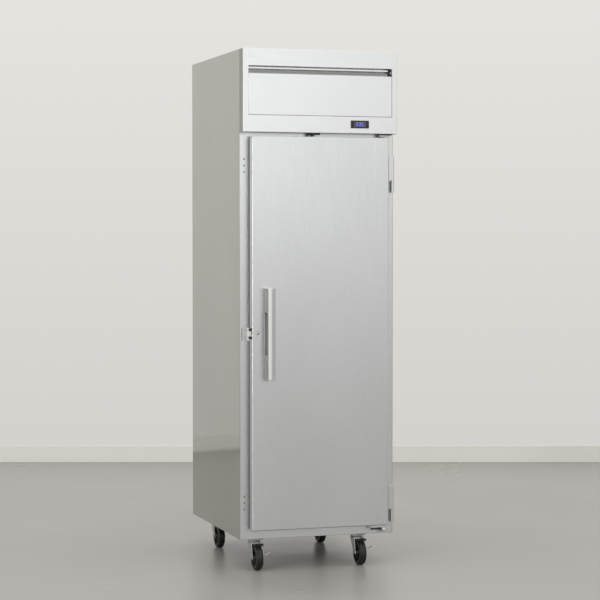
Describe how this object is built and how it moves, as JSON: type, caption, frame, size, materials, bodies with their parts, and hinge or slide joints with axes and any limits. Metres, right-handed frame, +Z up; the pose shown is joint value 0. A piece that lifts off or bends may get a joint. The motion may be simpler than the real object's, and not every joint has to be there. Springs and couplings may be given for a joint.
{
  "type": "reach-in refrigerator",
  "caption": "Upright reach-in refrigerator: insulated cabinet on casters, hinged full-height door with pressed pull, header with drop-front panel over the condensing unit.",
  "frame": {"origin": "on the floor under the middle of the overall bounding box", "axes": "+Z up, +Y from the door towards the back, +X to the right of a person facing the door"},
  "size_m": [0.673, 0.883, 2.156],
  "materials": {
    "stainless": "brushed, number 4 grain",
    "galvanised": "galvanised sheet",
    "anodised": "satin anodised",
    "liner": "coated aluminium liner",
    "foam": "rigid polyurethane foam",
    "lamp_diffuser": "opal diffuser",
    "shelf_wire": "epoxy coated wire",
    "black_plastic": "moulded, fine texture",
    "gasket": "extruded magnetic gasket",
    "fin_pack": "mill finish fins",
    "black_steel": "black enamel",
    "copper": "drawn copper tube",
    "zinc": "bright zinc plate",
    "tread": "black polyurethane tread"
  },
  "bodies": {
    "cabinet": {"side_panel_left": "stainless", "side_panel_right": "stainless", "back_panel": "galvanised", "base_pan": "galvanised", "top_deck": "galvanised", "face_frame": "stainless", "cabinet_foam": "foam", "inner_liner": "liner", "shelf_lower": "shelf_wire", "shelf_middle": "shelf_wire", "shelf_upper": "shelf_wire", "evaporator_cover": "liner", "evaporator_coil": "fin_pack", "interior_lamp": "lamp_diffuser", "header_hood": "stainless", "louvre_grille": "anodised", "controller": "black_plastic", "compressor": "black_steel", "condenser_coil": "fin_pack", "condenser_shroud": "galvanised", "control_box": "galvanised", "refrigerant_line": "copper", "door_switch": "black_plastic", "strike_bracket": "stainless", "hinge_top_cabinet": "stainless", "hinge_bottom_cabinet": "stainless", "stay_bracket": "zinc", "caster_plate_front_left": "zinc", "caster_plate_front_right": "zinc", "caster_plate_rear_left": "zinc", "caster_plate_rear_right": "zinc"},
    "door": {"door_skin": "stainless", "door_foam": "foam", "door_pan": "liner", "door_gasket": "gasket", "handle": "anodised", "lock_body": "zinc", "hinge_top_door": "stainless", "hinge_bottom_door": "stainless"},
    "lock_plug": {"lock_cylinder": "zinc"},
    "bolt": {"lock_bolt": "zinc"},
    "drop_panel": {"service_panel": "stainless"},
    "lamp_plunger": {"switch_plunger": "black_plastic"},
    "stay": {"stay_arm": "black_steel"},
    "inside_fan": {"evaporator_fan": "black_plastic"},
    "top_fan": {"condenser_fan": "black_plastic"},
    "key_1": {"controller_key_1": "black_plastic"},
    "key_2": {"controller_key_2": "black_plastic"},
    "key_3": {"controller_key_3": "black_plastic"},
    "key_4": {"controller_key_4": "black_plastic"},
    "fork_front_left": {"caster_fork_front_left": "zinc"},
    "wheel_front_left": {"caster_wheel_front_left": "tread"},
    "fork_front_right": {"caster_fork_front_right": "zinc"},
    "wheel_front_right": {"caster_wheel_front_right": "tread"},
    "fork_rear_left": {"caster_fork_rear_left": "zinc"},
    "wheel_rear_left": {"caster_wheel_rear_left": "tread"},
    "fork_rear_right": {"caster_fork_rear_right": "zinc"},
    "wheel_rear_right": {"caster_wheel_rear_right": "tread"},
    "brake_front_left": {"caster_brake_front_left": "black_steel"},
    "brake_front_right": {"caster_brake_front_right": "black_steel"}
  },
  "joints": [
    {"name": "door_hinge", "type": "hinge", "parent": "cabinet", "child": "door", "pos_m": [0.321, -0.3745, 0.983], "axis": [0, 0, 1], "range_deg": [0, 110]},
    {"name": "stay_pivot", "type": "hinge", "parent": "cabinet", "child": "stay", "pos_m": [0.283, -0.3795, 0.1515], "axis": [0, 0, 1], "range_deg": [0, 159.5]},
    {"name": "lock_turn", "type": "hinge", "parent": "door", "child": "lock_plug", "pos_m": [-0.2734, -0.3945, 0.9844], "axis": [0, 1, 0], "range_deg": [0, 90]},
    {"name": "bolt_throw", "type": "slide", "parent": "door", "child": "bolt", "axis": [-1, 0, 0], "range_m": [0, 0.012]},
    {"name": "panel_drop", "type": "hinge", "parent": "cabinet", "child": "drop_panel", "pos_m": [0, -0.3905, 1.8848], "axis": [1, 0, 0], "range_deg": [0, 85]},
    {"name": "lamp_switch_press", "type": "slide", "parent": "cabinet", "child": "lamp_plunger", "axis": [0, 0, 1], "range_m": [0, 0.003], "stiffness_N_per_m": 150},
    {"name": "inside_fan_spin", "type": "hinge", "parent": "cabinet", "child": "inside_fan", "pos_m": [0, -0.2635, 1.705], "axis": [0, 1, 0], "continuous": true},
    {"name": "top_fan_spin", "type": "hinge", "parent": "cabinet", "child": "top_fan", "pos_m": [-0.12, -0.2315, 1.99275], "axis": [0, 1, 0], "continuous": true},
    {"name": "key_1_press", "type": "slide", "parent": "cabinet", "child": "key_1", "axis": [0, 1, 0], "range_m": [0, 0.0008], "stiffness_N_per_m": 400},
    {"name": "key_2_press", "type": "slide", "parent": "cabinet", "child": "key_2", "axis": [0, 1, 0], "range_m": [0, 0.0008], "stiffness_N_per_m": 400},
    {"name": "key_3_press", "type": "slide", "parent": "cabinet", "child": "key_3", "axis": [0, 1, 0], "range_m": [0, 0.0008], "stiffness_N_per_m": 400},
    {"name": "key_4_press", "type": "slide", "parent": "cabinet", "child": "key_4", "axis": [0, 1, 0], "range_m": [0, 0.0008], "stiffness_N_per_m": 400},
    {"name": "swivel_front_left", "type": "hinge", "parent": "cabinet", "child": "fork_front_left", "pos_m": [-0.264, -0.3035, 0.11], "axis": [0, 0, 1], "continuous": true},
    {"name": "roll_front_left", "type": "hinge", "parent": "fork_front_left", "child": "wheel_front_left", "pos_m": [-0.264, -0.3455, 0.051], "axis": [1, 0, 0], "continuous": true},
    {"name": "swivel_front_right", "type": "hinge", "parent": "cabinet", "child": "fork_front_right", "pos_m": [0.188, -0.3035, 0.11], "axis": [0, 0, 1], "continuous": true},
    {"name": "roll_front_right", "type": "hinge", "parent": "fork_front_right", "child": "wheel_front_right", "pos_m": [0.188, -0.3455, 0.051], "axis": [1, 0, 0], "continuous": true},
    {"name": "swivel_rear_left", "type": "hinge", "parent": "cabinet", "child": "fork_rear_left", "pos_m": [-0.262, 0.3025, 0.11], "axis": [0, 0, 1], "continuous": true},
    {"name": "roll_rear_left", "type": "hinge", "parent": "fork_rear_left", "child": "wheel_rear_left", "pos_m": [-0.262, 0.2605, 0.051], "axis": [1, 0, 0], "continuous": true},
    {"name": "swivel_rear_right", "type": "hinge", "parent": "cabinet", "child": "fork_rear_right", "pos_m": [0.211, 0.3025, 0.11], "axis": [0, 0, 1], "continuous": true},
    {"name": "roll_rear_right", "type": "hinge", "parent": "fork_rear_right", "child": "wheel_rear_right", "pos_m": [0.211, 0.2605, 0.051], "axis": [1, 0, 0], "continuous": true},
    {"name": "brake_front_left", "type": "hinge", "parent": "fork_front_left", "child": "brake_front_left", "pos_m": [-0.2395, -0.3415, 0.066], "axis": [0, 1, 0], "range_deg": [0, 15]},
    {"name": "brake_front_right", "type": "hinge", "parent": "fork_front_right", "child": "brake_front_right", "pos_m": [0.2125, -0.3415, 0.066], "axis": [0, 1, 0], "range_deg": [0, 15]}
  ],
  "couplings": [
    {"joint": "stay_pivot", "follows": "door_hinge", "ratio": 1.45},
    {"joint": "bolt_throw", "follows": "lock_turn", "m_per_rad": 0.007637}
  ]
}
